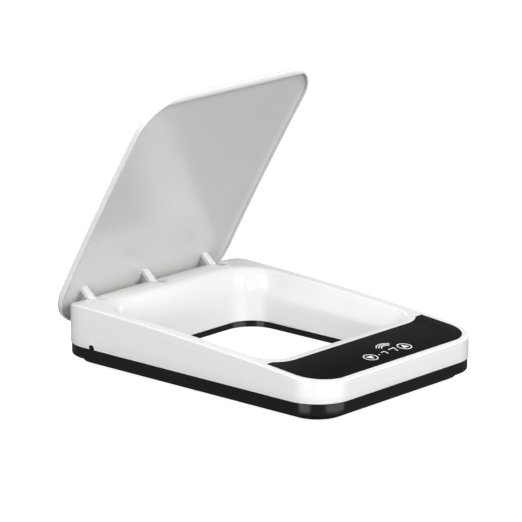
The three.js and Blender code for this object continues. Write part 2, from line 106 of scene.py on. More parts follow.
# rounded rectangles: half width, front and rear edge, radii of the front and rear corners
BODY = dict(half=110.0, front=FRONT_Y, rear=REAR_Y, r_front=35.0, r_rear=32.0)
OPENING = dict(half=99.5, front=-90.0, rear=119.0, r_front=24.0, r_rear=34.0)
WELL_FOOT = dict(half=89.7, front=-84.0, rear=103.6, r_front=22.0, r_rear=26.0)
LID = dict(half=109.5, front=-96.0, rear=165.0, r_front=38.0, r_rear=43.0)
PANEL_OUTER = dict(half=104.3, front=FRONT_Y + 5.7, rear=40.0, r_front=29.3, r_rear=10.0)
PANEL_LIP = dict(half=105.9, front=-96.4, rear=60.0, r_front=30.4, r_rear=10.0)
PANEL_TIP_Y = -89.0  # the two rear tips of the touch panel
PANEL_CLEARANCE = 0.3
POCKET_DEPTH = 2.2

ARM_X = (-79.3, 0.0, 79.3)
ARM_WIDTH = 7.2
ARM_SLOT = dict(half=ARM_WIDTH / 2 + 0.8, front=124.6, rear=147.4, r_front=1.6, r_rear=1.6)
SOCKET_Y = 112.4
SOCKET_HALF = 3.3

LID_GAP = 0.3  # between the closed lid and the casing
LID_THICK = 6.2
LID_EDGE = 3.2  # rounding of the lid's outer edge
COVER_THICK = 1.6
RIM = 2.0  # width of the lid's rim along the sides
FLANGE = 6.6  # and across the front end
LINER_DEPTH = 3.5  # from the rim's face to the liner
HINGE_Y = 140.3
HINGE_Z = 39.9
LID_OPEN = math.radians(62.65)


def crown(y):
    """Height of the top line, rising in a gentle curve from the front to the rear."""
    t = (y - FRONT_Y) / DEPTH
    return 36.7 + 32.8 * t - 13.5 * t * t


def deck(y):
    """The crown line with the rear edge rolled down."""
    reached = np.minimum(y, REAR_Y + 1)
    roll = np.maximum(0, reached - ROLL_START)
    edge = np.maximum(0, reached - EDGE_START)
    return crown(y) - 0.0077 * roll**2 - 0.17 * edge**2


# ---------------------------------------------------------------- mesh helpers
def outline(rect, grow=0.0, corner=18, side=30, end=18):
    """Rounded rectangle as (n, 2) points, anticlockwise from the front right corner.

    The number of points depends only on corner, side and end, so that rings of different size
    can be stacked.
    """
    half = rect["half"] + grow
    front = rect["front"] - grow
    rear = rect["rear"] + grow
    r_front = max(rect["r_front"] + grow, 0.6)
    r_rear = max(rect["r_rear"] + grow, 0.6)
    corners = [
        (half - r_front, front + r_front, r_front, -90, side),
        (half - r_rear, rear - r_rear, r_rear, 0, end),
        (-half + r_rear, rear - r_rear, r_rear, 90, side),
        (-half + r_front, front + r_front, r_front, 180, end),
    ]
    arcs = []
    for cx, cy, radius, start, _ in corners:
        angles = np.radians(start + np.linspace(0, 90, corner + 1))
        arcs.append(np.stack([cx + radius * np.cos(angles), cy + radius * np.sin(angles)], 1))
    points = []
    for k in range(4):
        points.append(arcs[k])
        a, b = arcs[k][-1], arcs[(k + 1) % 4][0]
        steps = corners[k][4]
        between = np.linspace(0, 1, steps + 1)[1:-1, None]
        points.append(a + (b - a) * between)
    return np.concatenate(points)


def with_z(points, z):
    return np.column_stack([points, np.broadcast_to(z, len(points))])


def quarter(steps, first=0):
    """Angles from 0 to 90 degrees, in radians."""
    return [math.radians(90 * k / steps) for k in range(first, steps + 1)]


def smooth(obj, angle=35):
    """Smooth shading, with edges sharper than the angle left sharp."""
    mesh = obj.data
    mesh.polygons.foreach_set("use_smooth", [True] * len(mesh.polygons))
    work = bmesh.new()
    work.from_mesh(mesh)
    limit = math.radians(angle)
    for edge in work.edges:
        if len(edge.link_faces) == 2:
            edge.smooth = edge.calc_face_angle(0) < limit
    work.to_mesh(mesh)
    work.free()


def mesh_object(name, verts, faces, smooth_angle=35):
    """Object at the frame's origin, in metres, from vertices in mm about the tray's middle."""
    coords = np.asarray(verts, float) + np.array([0, TRAY_Y, 0])
    mesh = bpy.data.meshes.new(name)
    mesh.from_pydata((coords * MM).tolist(), [], [tuple(int(i) for i in f) for f in faces])
    mesh.validate()
    work = bmesh.new()
    work.from_mesh(mesh)
    bmesh.ops.recalc_face_normals(work, faces=work.faces)
    work.to_mesh(mesh)
    work.free()
    obj = bpy.data.objects.new(name, mesh)
    scene.collection.objects.link(obj)
    smooth(obj, smooth_angle)
    return obj


def stack(rings, closed=False, cap_start=False, cap_end=False):
    """Quads between successive rings of equal point count, with fans over the ends if asked."""
    count = len(rings[0])
    verts = np.concatenate(rings)
    faces = []
    last_start = (len(rings) - 1) * count
    for r in range(len(rings) if closed else len(rings) - 1):
        a0 = r * count
        b0 = ((r + 1) % len(rings)) * count
        for i in range(count):
            j = (i + 1) % count
            faces.append((a0 + i, a0 + j, b0 + j, b0 + i))
    for wanted, base, ring in ((cap_start, 0, rings[0]), (cap_end, last_start, rings[-1])):
        if wanted:
            hub = len(verts)
            verts = np.vstack([verts, ring.mean(0)])
            faces += [(base + i, base + (i + 1) % count, hub) for i in range(count)]
    return verts, faces


def end_faces(count, rings):
    """One flat face over the first ring and one over the last."""
    last_start = (rings - 1) * count
    return [tuple(range(count))[::-1], tuple(range(last_start, last_start + count))]


def prism(name, points, z0, z1):
    """Straight-sided cutter over a closed outline."""
    verts, faces = stack([with_z(points, z0), with_z(points, z1)])
    return mesh_object(name, verts, faces + end_faces(len(points), 2))


def side_extrusion(name, pairs, x0, x1, steps=1):
    """Side-view outline of (y, z) pairs pushed across from x0 to x1."""
    pairs = np.asarray(pairs, float)
    count = len(pairs)
    rings = [np.column_stack([np.full(count, x), pairs]) for x in np.linspace(x0, x1, steps + 1)]
    verts, faces = stack(rings)
    return mesh_object(name, verts, faces + end_faces(count, len(rings)))


def tube(name, path, radius, sides=10):
    """Bead of round section along a closed path of 3D points."""
    path = np.asarray(path, float)
    along = np.roll(path, -1, 0) - np.roll(path, 1, 0)
    along /= np.linalg.norm(along, axis=1)[:, None]
    across = np.cross(along, [0, 0, 1])
    across /= np.linalg.norm(across, axis=1)[:, None]
    upward = np.cross(across, along)
    rings = []
    for k in range(sides):
        angle = 2 * math.pi * k / sides
        rings.append(path + radius * (math.cos(angle) * across + math.sin(angle) * upward))
    verts, faces = stack(rings, closed=True)
    return mesh_object(name, verts, faces, 80)


def inset(points, amount):
    """Closed outline moved inwards, square to itself."""
    along = np.roll(points, -1, 0) - np.roll(points, 1, 0)
    along /= np.linalg.norm(along, axis=1)[:, None]
    return points + np.stack([-along[:, 1], along[:, 0]], 1) * amount


def apply_modifiers(obj):
    bpy.context.view_layer.update()
    graph = bpy.context.evaluated_depsgraph_get()
    made = bpy.data.meshes.new_from_object(obj.evaluated_get(graph))
    obj.modifiers.clear()
    obj.data = made


def boolean(target, cutter, operation="DIFFERENCE"):
    modifier = target.modifiers.new("cut", "BOOLEAN")
    modifier.operation = operation
    modifier.object = cutter
    modifier.solver = "EXACT"
    apply_modifiers(target)
    bpy.data.objects.remove(cutter)


def bevel_all(obj, width, segments=3, angle=30):
    """Rounds every edge sharper than the angle."""
    modifier = obj.modifiers.new("round", "BEVEL")
    modifier.width = width * MM
    modifier.segments = segments
    modifier.limit_method = "ANGLE"
    modifier.angle_limit = math.radians(angle)
    modifier.harden_normals = False
    apply_modifiers(obj)
    smooth(obj)


def swing_open(obj):
    """Lid pieces are modelled closed and turned about the hinge into the rest pose."""
    pivot = Vector((0, (HINGE_Y + TRAY_Y) * MM, HINGE_Z * MM))
    there, home = Matrix.Translation(pivot), Matrix.Translation(-pivot)
    obj.data.transform(there @ Matrix.Rotation(-LID_OPEN, 4, "X") @ home)
    return obj


# ---------------------------------------------------------------- upper shell
# The wall of the well as (inward share, downward share) from its lip to its foot: a crisp lip for
# the front and sides, and a wide soft shoulder for the rear.
CRISP_WALL = (
    (0, 0), (0.05, 0.003), (0.1, 0.012), (0.145, 0.028), (0.175, 0.05), (0.25, 0.085),
    (0.4, 0.17), (0.6, 0.29), (0.78, 0.395), (0.86, 0.445), (0.91, 0.49), (0.94, 0.55),
    (0.96, 0.65), (0.98, 0.82), (1, 1),
)
SOFT_WALL = (
    (0, 0), (0.15, 0.008), (0.3, 0.028), (0.44, 0.062), (0.56, 0.105), (0.66, 0.155),
    (0.75, 0.215), (0.82, 0.28), (0.87, 0.345), (0.905, 0.41), (0.93, 0.48), (0.95, 0.56),
    (0.965, 0.66), (0.98, 0.82), (1, 1),
)
WALL_STEPS = 40
SOFT_FROM_Y = 70  # the crisp wall blends into the soft one over SOFT_LENGTH behind here
SOFT_LENGTH = 40


def smooth_interp(x, xs, ys):
    """Cubic curve through the points (xs, ys), with the slopes of their neighbours."""
    slope = np.gradient(ys, xs)
    i = np.clip(np.searchsorted(xs, x, side="right") - 1, 0, len(xs) - 2)
    h = xs[i + 1] - xs[i]
    t = (x - xs[i]) / h
    a = (1 + 2 * t) * (1 - t) ** 2
    b = t * (1 - t) ** 2
    c = t * t * (3 - 2 * t)
    d = t * t * (t - 1)
    return a * ys[i] + b * h * slope[i] + c * ys[i + 1] + d * h * slope[i + 1]


def fine_profile(points):
    points = np.array(points, float)
    coarse, fine = np.linspace(0, 1, len(points)), np.linspace(0, 1, WALL_STEPS)
    return np.stack([smooth_interp(fine, coarse, points[:, k]) for k in range(2)], 1)


def well_shares():
    """For each step down the wall, the two shares at every point round the lip."""
    crisp, soft = fine_profile(CRISP_WALL), fine_profile(SOFT_WALL)
    blend = np.clip((outline(OPENING)[:, 1] - SOFT_FROM_Y) / SOFT_LENGTH, 0, 1)
    blend = (blend * blend * (3 - 2 * blend))[:, None]
    return [crisp[k] * (1 - blend) + soft[k] * blend for k in range(WALL_STEPS)]


def wall_rings():
    """Outer wall from the seam up, with its rounded top edge."""
    wall = outline(BODY)
    rings = [
        with_z(outline(BODY, -0.35), SEAM_Z),
        with_z(outline(BODY, -0.1), SEAM_Z + 0.1),
        with_z(wall, SEAM_Z + 0.4),
    ]
    for share in (0.35, 0.7):
        rings.append(with_z(wall, SEAM_Z + (deck(wall[:, 1]) - TOP_ROUND - SEAM_Z) * share))
    for angle in quarter(8):
        ring = outline(BODY, -TOP_ROUND * (1 - math.cos(angle)))
        rings.append(with_z(ring, deck(ring[:, 1]) - TOP_ROUND * (1 - math.sin(angle))))
    return rings


def deck_rings():
    """Deck from the rounded edge in towards the lip of the well."""
    edge, lip = outline(BODY, -TOP_ROUND), outline(OPENING)
    rings = []
    for share in (0.05, 0.1, 0.16, 0.24, 0.33, 0.44, 0.56, 0.68, 0.8, 0.9):
        ring = edge + (lip - edge) * share
        rings.append(with_z(ring, deck(ring[:, 1])))
    return rings


def well_wall(lip, foot, below, foot_z, shares):
    """Rings down the well, which start at a depth below the deck and end at foot_z."""
    rings = []
    for share in shares:
        ring = lip + (foot - lip) * share[:, :1]
        surface = deck(ring[:, 1]) - below
        rings.append(with_z(ring, surface + (foot_z - surface) * share[:, 1]))
    return rings


def well_rings():
    """Visible wall of the well and the edge that turns under at its foot."""
    rings = well_wall(outline(OPENING), outline(WELL_FOOT), 0, LEDGE_Z + 0.3, well_shares())
    for grow, rise in ((0.12, 0.08), (0.5, 0.0), (1.9, 0.05)):
        rings.append(with_z(outline(WELL_FOOT, grow), LEDGE_Z + rise))
    return rings


def inside_rings():
    """Inner face, unseen: up behind the well, under the deck and down inside the outer wall."""
    lip, foot = outline(OPENING, 2.2), outline(WELL_FOOT, 2.1)
    rings = well_wall(lip, foot, 2.6, LEDGE_Z + 1.5, well_shares()[:0:-3])
    shoulder, under = outline(OPENING, 3.5), outline(BODY, -2.6)
    rings.append(with_z(shoulder, deck(shoulder[:, 1]) - 2.8))
    rings.append(with_z(under, deck(under[:, 1]) - 3.0))
    rings.append(with_z(under, SEAM_Z + 0.2))
    return rings


def build_casing():
    rings = wall_rings() + deck_rings() + well_rings() + inside_rings()
    verts, faces = stack(rings, closed=True)
    return mesh_object("casing_shell", verts, faces)


def panel_outline(clearance=0.0):
    """Anticlockwise outline of the touch panel: round the front, back along the lip of the well."""
    outer = outline(PANEL_OUTER, clearance, corner=28, side=30, end=40)
    inner = outline(PANEL_LIP, -clearance, corner=60, side=30, end=40)
    tip = PANEL_TIP_Y + clearance
    half = PANEL_OUTER["half"] + clearance
    front = outer[outer[:, 1] < tip - 0.2]
    turn = np.arctan2(front[:, 0], -(front[:, 1] + 110.0))  # seen from inside the panel
    lip = inner[inner[:, 1] < tip]
    front, lip = front[np.argsort(turn)], lip[np.argsort(-lip[:, 0])]
    return np.vstack([[(-half, tip)], front, [(half, tip)], lip])


def cut_pocket(casing, pocket):
    """Pocket for the panel, with a floor that follows the deck."""
    cutter = prism("pocket", pocket, 0, 60)
    for vertex in cutter.data.vertices[: len(pocket)]:
        y = vertex.co.y / MM - TRAY_Y
        vertex.co.z = (deck(np.array([y]))[0] - POCKET_DEPTH) * MM
    boolean(casing, cutter)


def notch_outline():
    """Arched notch over the charging socket as (y, z) pairs, open at the seam."""
    foot = SEAM_Z - 1.5
    pairs = [(SOCKET_Y + SOCKET_HALF, foot)]
    for k in range(17):
        angle = math.pi * k / 16
        y = SOCKET_Y + SOCKET_HALF * math.cos(angle)
        pairs.append((y, SEAM_Z + 1.4 + 2.9 * math.sin(angle)))
    return pairs + [(SOCKET_Y - SOCKET_HALF, foot)]


def build_socket_shade_insert():
    """Black insert round the charging socket inside the notch: a dark piece that stands in for the
    shade in the notch.
    """
    arch = [(y, z) for y, z in notch_outline() if z >= SEAM_Z]
    ends = [(SOCKET_Y + SOCKET_HALF, SEAM_Z)], [(SOCKET_Y - SOCKET_HALF, SEAM_Z)]
    outer = np.vstack([ends[0], arch, ends[1]])
    middle = np.array([SOCKET_Y, SEAM_Z + 2.0])
    rings = []
    for share, x in ((0.97, -109.3), (0.97, -107.2), (0.6, -107.2), (0.6, -108.9), (0.66, -109.3)):
        flat = middle + (outer - middle) * share
        rings.append(np.column_stack([np.full(len(flat), x), flat]))
    verts, faces = stack(rings, closed=True)
    return mesh_object("socket_shade_insert", verts, faces)


pocket = panel_outline(PANEL_CLEARANCE)
casing = build_casing()
cut_pocket(casing, pocket)
for x in ARM_X:
    slot = outline(ARM_SLOT, corner=6, side=10, end=4) + np.array([x, 0])
    boolean(casing, prism("slot", slot, 44, 62))
boolean(casing, side_extrusion("notch", notch_outline(), -112, -104))
smooth(casing, 30)

# thin rounded bead that finishes the rim of the panel pocket
pocket_rim = tube("panel_pocket_rim", with_z(pocket, deck(pocket[:, 1]) - 0.32), 0.42)
# painted shade: a black insert stands in for the shade inside the socket notch
socket_shade_insert = build_socket_shade_insert()


# ---------------------------------------------------------------- touch panel and its symbols
PRINT_TOP = -0.03  # the print lies just above the glass, whose face is 0.06 below the deck
PRINT_FOOT = -0.15
PRINT_LINE = 0.98
KEY_RADIUS = 6.3
CLOSE_KEY = np.array([-19.0, -133.4])
OPEN_KEY = np.array([26.4, -133.4])


def build_panel():
    base = panel_outline()
    rings = []
    edge = ((0.3, 2.0), (0.0, 1.7), (0.0, 0.45), (0.08, 0.22), (0.25, 0.1), (0.5, 0.06))
    for amount, drop in edge:
        ring = inset(base, amount)
        rings.append(with_z(ring, deck(ring[:, 1]) - drop))
    verts, faces = stack(rings)
    return mesh_object("touch_glass", verts, faces + end_faces(len(base), len(rings)), 40)


def stroke(points, width, closed=False):
    """Flat printed line of a given width along a path on the panel."""
    path = np.asarray(points, float)
    if closed:
        along = np.roll(path, -1, 0) - np.roll(path, 1, 0)
    else:
        along = np.gradient(path, axis=0)
    along /= np.linalg.norm(along, axis=1)[:, None]
    side = np.stack([-along[:, 1], along[:, 0]], 1) * width / 2
    left, right = path + side, path - side
    edges = ((left, PRINT_TOP), (right, PRINT_TOP), (right, PRINT_FOOT), (left, PRINT_FOOT))
    verts = np.concatenate([with_z(edge, deck(edge[:, 1]) + height) for edge, height in edges])
    count = len(path)
    faces = []
    for r in range(4):
        n = (r + 1) % 4
        for i in range(count if closed else count - 1):
            j = (i + 1) % count
            faces.append((r * count + i, r * count + j, n * count + j, n * count + i))
    if not closed:
        faces.append(tuple(r * count for r in range(4)))
        faces.append(tuple(r * count + count - 1 for r in range(4))[::-1])
    return verts, faces


def blob(corners, radius):
    """Filled printed polygon with rounded corners."""
    corners = np.asarray(corners, float)
    loop = []
    for k, corner in enumerate(corners):
        before = corners[k - 1] - corner
        after = corners[(k + 1) % len(corners)] - corner
        a = corner + before / np.linalg.norm(before) * radius * 1.6
        b = corner + after / np.linalg.norm(after) * radius * 1.6
        for t in np.linspace(0, 1, 6):
            loop.append((1 - t) ** 2 * a + 2 * t * (1 - t) * corner + t * t * b)
    loop = np.array(loop)
    rings = [with_z(loop, deck(loop[:, 1]) + height) for height in (PRINT_FOOT, PRINT_TOP)]
    return stack(rings, cap_start=True, cap_end=True)


def arc(centre, radius, start, stop, steps=24):
    angles = np.radians(np.linspace(start, stop, steps))
    x = centre[0] + radius * np.cos(angles)
    return np.stack([x, centre[1] + radius * np.sin(angles)], 1)


def bend(a, b, c, steps=16):
    """Smooth curve through three points."""
    a, b, c = (np.array(p, float) for p in (a, b, c))
    control = 2 * b - (a + c) / 2
    t = np.linspace(0, 1, steps)[:, None]
    return (1 - t) ** 2 * a + 2 * t * (1 - t) * control + t * t * c


def build_symbols():
    """Two ringed arrow keys, a dot, two indicator marks and three arcs of a wave sign."""
    dot = [
        (-7.8 + 1.1 * math.cos(a), -133.6 + 1.1 * math.sin(a))
        for a in np.radians((45, 135, 225, 315))
    ]
    shapes = [
        stroke(arc(CLOSE_KEY, KEY_RADIUS, 0, 352.5, 48), PRINT_LINE, closed=True),
        stroke(arc(OPEN_KEY, KEY_RADIUS, 0, 352.5, 48), PRINT_LINE, closed=True),
        blob(CLOSE_KEY + np.array([(3.7, 2.6), (-3.7, 2.6), (0, -4.2)]), 0.7),
        blob(OPEN_KEY + np.array([(0, 4.2), (-3.7, -2.6), (3.7, -2.6)]), 0.7),
        blob(dot, 0.5),
        stroke(bend((-2.7, -131.6), (1.9, -131.4), (0.7, -136.3)), PRINT_LINE),
        stroke([(8.3, -130.3), (16.2, -129.6)], PRINT_LINE),
        stroke([(15.9, -129.4), (13.0, -137.2)], PRINT_LINE),
    ]
    for radius in (11.5, 9.2, 6.9):
        shapes.append(stroke(arc((12.0, -128.5), radius, 40, 144), PRINT_LINE * 0.95))
    verts, faces = [], []
    for points, quads in shapes:
        start = sum(len(v) for v in verts)
        verts.append(points)
        faces += [tuple(i + start for i in f) for f in quads]
    return mesh_object("panel_symbols", np.concatenate(verts), faces)


panel = build_panel()
symbols = build_symbols()


# ---------------------------------------------------------------- lower shell
def build_base():
    """Plinth, outer skirt, then the inside of the shell and the wall round the opening."""
    plinth, skirt, bend_radius = -11.0, -0.8, 1.2
    rows = [
        (WELL_FOOT, 1.4, 0.8), (BODY, plinth - 0.7, 0.8), (BODY, plinth - 0.2, 1.0),
        (BODY, plinth, 1.5), (BODY, plinth, 6.2), (BODY, plinth + 0.2, 6.7),
        (BODY, plinth + 0.7, LEDGE_Z), (BODY, -6, LEDGE_Z), (BODY, -2.0, LEDGE_Z),
    ]
    for angle in quarter(6, 1):
        grow = skirt - bend_radius * (1 - math.sin(angle))
        rows.append((BODY, grow, LEDGE_Z + bend_radius * (1 - math.cos(angle))))
    rows += [
        (BODY, skirt, 12), (BODY, skirt, SEAM_Z - 0.55), (BODY, skirt - 0.15, SEAM_Z - 0.3),
        (BODY, -3.1, SEAM_Z - 0.3), (BODY, -3.2, 9.4), (BODY, -13.2, 9.3), (BODY, -13.4, 3.2),
        (WELL_FOOT, 3.4, 3.2), (WELL_FOOT, 3.4, 6.4), (WELL_FOOT, 3.2, 6.6),
        (WELL_FOOT, 1.3, 6.6), (WELL_FOOT, 1.0, 6.3), (WELL_FOOT, 1.0, 1.2),
    ]
    rings = [with_z(outline(rect, grow), z) for rect, grow, z in rows]
    verts, faces = stack(rings, closed=True)
    return mesh_object("base_shell", verts, faces, 30)


base = build_base()


# ---------------------------------------------------------------- lid
# Section of the rim from its inner to its outer edge: share of the rim's width, height on the
# sides, height across the front end.
RIM_SECTION = (
    (0.0, 1.6, 1.6), (0.0, 0.5, 0.5), (0.05, 0.15, 0.15), (0.12, 0.02, 0.03), (0.25, 0.0, 0.0),
    (0.4, 0.0, 0.1), (0.55, 0.0, 0.35), (0.7, 0.02, 0.8), (0.82, 0.08, 1.35), (0.92, 0.22, 1.95),
    (0.97, 0.4, 2.4), (1.0, 0.7, 3.0),
)
# Edge of the liner, turned up to meet the rim behind a narrow groove: outline offset, height.
LINER_EDGE = (
    (-2.75, 3.6), (-2.8, 2.0), (-2.95, 1.8), (-3.2, 1.85), (-3.6, 2.1), (-4.1, 2.4), (-4.8, 2.7),
    (-5.6, 2.95), (-6.6, 3.2), (-8.0, 3.4), (-10.0, LINER_DEPTH), (-12.0, LINER_DEPTH),
)


def lid_surface(flat, height):
    """Ring at a height above the face of the closed lid that rests on the casing."""
    return with_z(flat, crown(flat[:, 1]) + LID_GAP + height)


def lid_ring(grow, height):
    return lid_surface(outline(LID, grow, corner=24, side=34, end=20), height)


def shrunk_rings(ring, shares, height):
    flat = ring[:, :2]
    centre = flat.mean(0)
    return [lid_surface(centre + (flat - centre) * share, height) for share in shares]


def rim_rings():
    """The rim is narrow along the sides and widens into a straight flange at the front end."""
    outer = lid_ring(0.0, 0.0)[:, :2]
    inner = lid_ring(-RIM, 0.0)[:, :2]
    inner[:, 1] = np.maximum(inner[:, 1], LID["front"] + FLANGE)
    width = np.linalg.norm(outer - inner, axis=1)
    share = np.clip((width - 2.2) / 3.5, 0, 1)
    rings = []
    for t, side_height, front_height in RIM_SECTION:
        height = side_height * (1 - share) + front_height * share
        rings.append(lid_surface(inner + (outer - inner) * t, height))
    return rings


def build_lid_cover():
    """Outer skin of the lid, closed from its inner face round the rim to its top."""
    inner = lid_ring(-RIM, LID_THICK - COVER_THICK)
    outer = lid_ring(-LID_EDGE, LID_THICK)
    rings = shrunk_rings(inner, (0.05, 0.3, 0.6, 0.85), LID_THICK - COVER_THICK)
    rings += [inner] + rim_rings() + [lid_ring(0.0, LID_THICK - LID_EDGE + 0.05)]
    for angle in quarter(10, 1):
        height = LID_THICK - LID_EDGE + LID_EDGE * math.sin(angle)
        rings.append(lid_ring(-LID_EDGE * (1 - math.cos(angle)), height))
    rings += shrunk_rings(outer, (0.97, 0.92, 0.84, 0.74, 0.62, 0.48, 0.32, 0.16, 0.05), LID_THICK)
    verts, faces = stack(rings, cap_start=True, cap_end=True)
    return mesh_object("lid_cover_shell", verts, faces, 30)


def build_lid_liner():
    """Inner skin of the lid: nearly flat, and cut straight behind the flange at the front end."""
    back = [lid_ring(-2.8, 4.0), lid_ring(-3.4, 4.3)]
    back += shrunk_rings(back[-1], (0.9, 0.5, 0.1), 4.4)
    rings = [lid_ring(grow, height) for grow, height in LINER_EDGE]
    rings += shrunk_rings(rings[-1], (0.9, 0.75, 0.55, 0.35, 0.15), LINER_DEPTH)
    verts, faces = stack(back[::-1] + rings, cap_start=True, cap_end=True)
    liner = mesh_object("lid_inner_skin", verts, faces, 45)
    edge = LID["front"] + FLANGE + 0.5
    keep = np.array([(-130, edge), (130, edge), (130, 200), (-130, 200)], float)
    boolean(liner, prism("front", keep, 0, 90), "INTERSECT")
    smooth(liner, 30)
    return liner


def build_arm(name, x):
    """Hinge arm in side view, about the hinge: a straight leg up to the liner and a round hub."""
    top = float(crown(np.array(HINGE_Y - 14))) + LID_GAP + LINER_DEPTH + 0.2 - HINGE_Z
    leg = [
        (-15.8, top), (-14.3, 12), (-12.3, 3), (-11.4, -1.6), (-10.6, -3.4), (-9.2, -4.4),
        (-7, -4.9),
    ]
    hub = [(5.4 * math.cos(a), 5.4 * math.sin(a)) for a in np.radians(np.linspace(-115, 118, 26))]
    rear = [(-5.2, 4.7), (-7.0, 5.0), (-8.4, 6.2), (-9.2, 8.6), (-11.4, top)]
    pairs = [(y + HINGE_Y, z + HINGE_Z) for y, z in leg + hub + rear]
    arm = side_extrusion(name, pairs, x - ARM_WIDTH / 2, x + ARM_WIDTH / 2, 2)
    bevel_all(arm, 0.5)
    return swing_open(arm)


lid_cover = swing_open(build_lid_cover())
lid_liner = swing_open(build_lid_liner())
arms = {
    side: build_arm(f"arm_{side}", x) for side, x in zip(("left", "middle", "right"), ARM_X)
}


# ---------------------------------------------------------------- materials
def node_material(name):
    material = bpy.data.materials.new(name)
    material.use_nodes = True
    nodes = material.node_tree.nodes
    shader = nodes["Principled BSDF"]
    return material, nodes, material.node_tree.links, shader


def noise(nodes, links, coords, scale, detail=4.0, rough=0.55, stretch=None):
    texture = nodes.new("ShaderNodeTexNoise")
    texture.inputs["Scale"].default_value = scale
    texture.inputs["Detail"].default_value = detail
    texture.inputs["Roughness"].default_value = rough
    if stretch:
        mapping = nodes.new("ShaderNodeMapping")
        mapping.inputs["Scale"].default_value = stretch
        links.new(coords, mapping.inputs["Vector"])
        links.new(mapping.outputs["Vector"], texture.inputs["Vector"])
    else:
        links.new(coords, texture.inputs["Vector"])
    return texture.outputs["Fac"]


def ramp(nodes, links, factor, stops):
    node = nodes.new("ShaderNodeValToRGB")
    elements = node.color_ramp.elements
    while len(elements) < len(stops):
        elements.new(0.5)
    for element, (position, color) in zip(elements, stops):
        element.position = position
        element.color = (*color, 1)
    links.new(factor, node.inputs["Fac"])
    return node.outputs["Color"]


def map_range(nodes, links, factor, low, high, start=0.3, stop=0.7):
    """Stretches a signal; noise stays mostly between the default start and stop."""
    node = nodes.new("ShaderNodeMapRange")
    node.inputs["From Min"].default_value = start
    node.inputs["From Max"].default_value = stop
    node.inputs["To Min"].default_value = low
    node.inputs["To Max"].default_value = high
    links.new(factor, node.inputs["Value"])
    return node.outputs["Result"]


def mix(nodes, links, factor, a, b):
    """Blend of two colors, each either a socket or a plain color."""
    node = nodes.new("ShaderNodeMix")
    node.data_type = "RGBA"
    links.new(factor, node.inputs["Factor"])
    for socket, value in ((node.inputs[6], a), (node.inputs[7], b)):
        if isinstance(value, tuple):
            socket.default_value = (*value, 1)
        else:
            links.new(value, socket)
    return node.outputs[2]


def shades(color, spread):
    """The color a little darker and a little lighter."""
    return tuple(c * (1 - spread) for c in color), tuple(min(1.0, c * (1 + spread)) for c in color)


def relief(nodes, links, shader, height, strength, distance=0.0002):
    """Shallow bump from a signal; the distance is in metres."""
    bump = nodes.new("ShaderNodeBump")
    bump.inputs["Strength"].default_value = strength
    bump.inputs["Distance"].default_value = distance
    links.new(height, bump.inputs["Height"])
    links.new(bump.outputs["Normal"], shader.inputs["Normal"])


def moulded(name, color, rough, spread, grain, specular=0.5, fine=420.0, edge_highlight_share=0.04):
    """Moulded plastic: faint color drift, fine grain, uneven gloss and a painted highlight on sharp
    edges.
    """
    material, nodes, links, shader = node_material(name)
    coords = nodes.new("ShaderNodeTexCoord").outputs["Object"]
    drift = noise(nodes, links, coords, 9.0, 3.0)
    mottle = noise(nodes, links, coords, 160.0, 5.0, 0.6)
    speck = noise(nodes, links, coords, fine, 2.0, 0.5)
    dark, light = shades(color, spread)
    tone = ramp(nodes, links, drift, [(0.3, dark), (0.7, light)])
    tone = mix(nodes, links, map_range(nodes, links, mottle, 0.0, 0.35), tone, dark)
    # painted highlight: sharp convex edges get a lighter colour
    edges = nodes.new("ShaderNodeNewGeometry").outputs["Pointiness"]
    painted_edge_highlight = tuple(c + (0.9 - c) * edge_highlight_share for c in color)
    tone = mix(nodes, links, map_range(nodes, links, edges, 0.0, 1.0, 0.53, 0.62), tone, painted_edge_highlight)
    links.new(tone, shader.inputs["Base Color"])
    polish = noise(nodes, links, coords, 24.0, 1.0, 0.4)
    gloss = map_range(nodes, links, polish, rough * 0.93, rough * 1.08)
    links.new(gloss, shader.inputs["Roughness"])
    shader.inputs["Specular IOR Level"].default_value = specular
    relief(nodes, links, shader, speck, grain)
    return material


def machined(name, color, rough, stretch=(4, 220, 220), spread=0.1):
    """Metal with fine drawn lines."""
    material, nodes, links, shader = node_material(name)
    coords = nodes.new("ShaderNodeTexCoord").outputs["Object"]
    lines = noise(nodes, links, coords, 12.0, 6.0, 0.7, stretch)
    cloud = noise(nodes, links, coords, 60.0, 3.0)
    dark, light = shades(color, spread)
    tone = ramp(nodes, links, lines, [(0.25, dark), (0.75, light)])
    tone = mix(nodes, links, map_range(nodes, links, cloud, 0.0, 0.3), tone, dark)
    links.new(tone, shader.inputs["Base Color"])
    gloss = map_range(nodes, links, lines, rough * 0.75, rough * 1.35)
    links.new(gloss, shader.inputs["Roughness"])
    shader.inputs["Metallic"].default_value = 1.0
    relief(nodes, links, shader, lines, 0.12)
    return material


def circuit_board(name):
    """Green solder mask with copper tracks just visible under it."""
    material, nodes, links, shader = node_material(name)
    coords = nodes.new("ShaderNodeTexCoord").outputs["Object"]
    tracks = nodes.new("ShaderNodeTexBrick")
    tracks.inputs["Scale"].default_value = 260.0
    tracks.inputs["Mortar Size"].default_value = 0.035
    tracks.inputs["Color1"].default_value = (0.012, 0.09, 0.035, 1)
    tracks.inputs["Color2"].default_value = (0.016, 0.11, 0.045, 1)
    tracks.inputs["Mortar"].default_value = (0.05, 0.2, 0.07, 1)
    links.new(coords, tracks.inputs["Vector"])
    cloud = noise(nodes, links, coords, 90.0)
    share = map_range(nodes, links, cloud, 0.0, 0.5)
    tone = mix(nodes, links, share, tracks.outputs["Color"], (0.01, 0.06, 0.025))
    links.new(tone, shader.inputs["Base Color"])
    links.new(map_range(nodes, links, cloud, 0.3, 0.5), shader.inputs["Roughness"])
    relief(nodes, links, shader, tracks.outputs["Fac"], 0.3, 0.0001)
    return material


